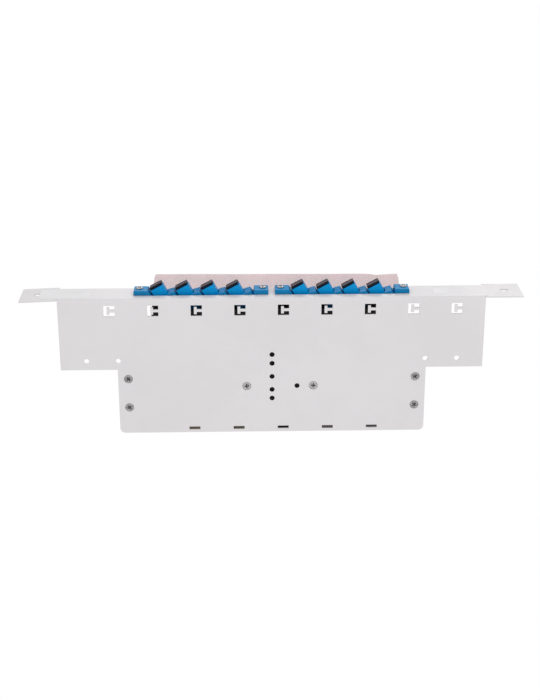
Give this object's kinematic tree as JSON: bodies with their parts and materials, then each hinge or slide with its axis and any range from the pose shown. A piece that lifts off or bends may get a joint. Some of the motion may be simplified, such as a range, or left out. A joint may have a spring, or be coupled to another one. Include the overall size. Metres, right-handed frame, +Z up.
{
  "type": "fibre patch panel",
  "caption": "Slim rack-width fibre patch panel: folded tray with ears, tilted adapters in saw-tooth holders, dust caps, splice tray and a cover film.",
  "frame": {"origin": "centre of the bounding box, on the underside of the floor plate", "axes": "+X along the panel to its right, -Y out of the front, +Z up from the floor plate"},
  "size_m": [0.4826, 0.1532, 0.0365],
  "materials": {
    "white_coat": "matt white powder coat",
    "zinc_steel": "zinc plated, satin",
    "bright_steel": "bright zinc plated",
    "zinc_sheet": "zinc plated sheet, satin",
    "blue_holder": "satin blue moulding",
    "blue_adapter": "smooth blue moulding",
    "dark_cap": "matt dark grey",
    "white_ceramic": "ground",
    "black_mould": "matt black",
    "grey_mould": "matt grey",
    "tinted_film": "translucent, slightly pink"
  },
  "bodies": {
    "panel": {"chassis": "white_coat", "tray_screw_1": "zinc_steel", "tray_screw_2": "zinc_steel", "bracket_screw_1": "zinc_steel", "bracket_screw_2": "zinc_steel", "bracket_screw_3": "zinc_steel", "bracket_screw_4": "zinc_steel", "adapter_holder_left": "blue_holder", "holder_screw_left_1": "bright_steel", "holder_screw_left_2": "bright_steel", "adapter_holder_right": "blue_holder", "holder_screw_right_1": "bright_steel", "holder_screw_right_2": "bright_steel", "adapter_1": "blue_adapter", "split_sleeve_1": "white_ceramic", "adapter_2": "blue_adapter", "split_sleeve_2": "white_ceramic", "adapter_3": "blue_adapter", "split_sleeve_3": "white_ceramic", "adapter_4": "blue_adapter", "split_sleeve_4": "white_ceramic", "adapter_5": "blue_adapter", "split_sleeve_5": "white_ceramic", "adapter_6": "blue_adapter", "split_sleeve_6": "white_ceramic", "adapter_7": "blue_adapter", "split_sleeve_7": "white_ceramic", "adapter_8": "blue_adapter", "split_sleeve_8": "white_ceramic", "splice_tray": "black_mould", "splice_comb_front": "grey_mould", "splice_comb_rear": "grey_mould", "side_bracket_left": "zinc_sheet", "side_bracket_right": "zinc_sheet", "cover_film": "tinted_film", "film_rivet_left": "black_mould", "film_rivet_middle": "black_mould", "film_rivet_right": "black_mould"},
    "front_cap_1": {"front_dust_cap_1": "dark_cap"},
    "front_cap_2": {"front_dust_cap_2": "dark_cap"},
    "front_cap_3": {"front_dust_cap_3": "dark_cap"},
    "front_cap_4": {"front_dust_cap_4": "dark_cap"},
    "front_cap_5": {"front_dust_cap_5": "dark_cap"},
    "front_cap_6": {"front_dust_cap_6": "dark_cap"},
    "front_cap_7": {"front_dust_cap_7": "dark_cap"},
    "front_cap_8": {"front_dust_cap_8": "dark_cap"},
    "rear_cap_1": {"rear_dust_cap_1": "dark_cap"},
    "rear_cap_2": {"rear_dust_cap_2": "dark_cap"},
    "rear_cap_3": {"rear_dust_cap_3": "dark_cap"},
    "rear_cap_4": {"rear_dust_cap_4": "dark_cap"},
    "rear_cap_5": {"rear_dust_cap_5": "dark_cap"},
    "rear_cap_6": {"rear_dust_cap_6": "dark_cap"},
    "rear_cap_7": {"rear_dust_cap_7": "dark_cap"},
    "rear_cap_8": {"rear_dust_cap_8": "dark_cap"}
  },
  "joints": [
    {"name": "front_cap_1_pull", "type": "slide", "parent": "panel", "child": "front_cap_1", "axis": [-0.4772, -0.8788, 0], "range_m": [0, 0.012]},
    {"name": "front_cap_2_pull", "type": "slide", "parent": "panel", "child": "front_cap_2", "axis": [-0.4772, -0.8788, 0], "range_m": [0, 0.012]},
    {"name": "front_cap_3_pull", "type": "slide", "parent": "panel", "child": "front_cap_3", "axis": [-0.4772, -0.8788, 0], "range_m": [0, 0.012]},
    {"name": "front_cap_4_pull", "type": "slide", "parent": "panel", "child": "front_cap_4", "axis": [-0.4772, -0.8788, 0], "range_m": [0, 0.012]},
    {"name": "front_cap_5_pull", "type": "slide", "parent": "panel", "child": "front_cap_5", "axis": [-0.4772, -0.8788, 0], "range_m": [0, 0.012]},
    {"name": "front_cap_6_pull", "type": "slide", "parent": "panel", "child": "front_cap_6", "axis": [-0.4772, -0.8788, 0], "range_m": [0, 0.012]},
    {"name": "front_cap_7_pull", "type": "slide", "parent": "panel", "child": "front_cap_7", "axis": [-0.4772, -0.8788, 0], "range_m": [0, 0.012]},
    {"name": "front_cap_8_pull", "type": "slide", "parent": "panel", "child": "front_cap_8", "axis": [-0.4772, -0.8788, 0], "range_m": [0, 0.012]},
    {"name": "rear_cap_1_pull", "type": "slide", "parent": "panel", "child": "rear_cap_1", "axis": [0.4772, 0.8788, 0], "range_m": [0, 0.01]},
    {"name": "rear_cap_2_pull", "type": "slide", "parent": "panel", "child": "rear_cap_2", "axis": [0.4772, 0.8788, 0], "range_m": [0, 0.01]},
    {"name": "rear_cap_3_pull", "type": "slide", "parent": "panel", "child": "rear_cap_3", "axis": [0.4772, 0.8788, 0], "range_m": [0, 0.01]},
    {"name": "rear_cap_4_pull", "type": "slide", "parent": "panel", "child": "rear_cap_4", "axis": [0.4772, 0.8788, 0], "range_m": [0, 0.01]},
    {"name": "rear_cap_5_pull", "type": "slide", "parent": "panel", "child": "rear_cap_5", "axis": [0.4772, 0.8788, 0], "range_m": [0, 0.01]},
    {"name": "rear_cap_6_pull", "type": "slide", "parent": "panel", "child": "rear_cap_6", "axis": [0.4772, 0.8788, 0], "range_m": [0, 0.01]},
    {"name": "rear_cap_7_pull", "type": "slide", "parent": "panel", "child": "rear_cap_7", "axis": [0.4772, 0.8788, 0], "range_m": [0, 0.01]},
    {"name": "rear_cap_8_pull", "type": "slide", "parent": "panel", "child": "rear_cap_8", "axis": [0.4772, 0.8788, 0], "range_m": [0, 0.01]}
  ]
}
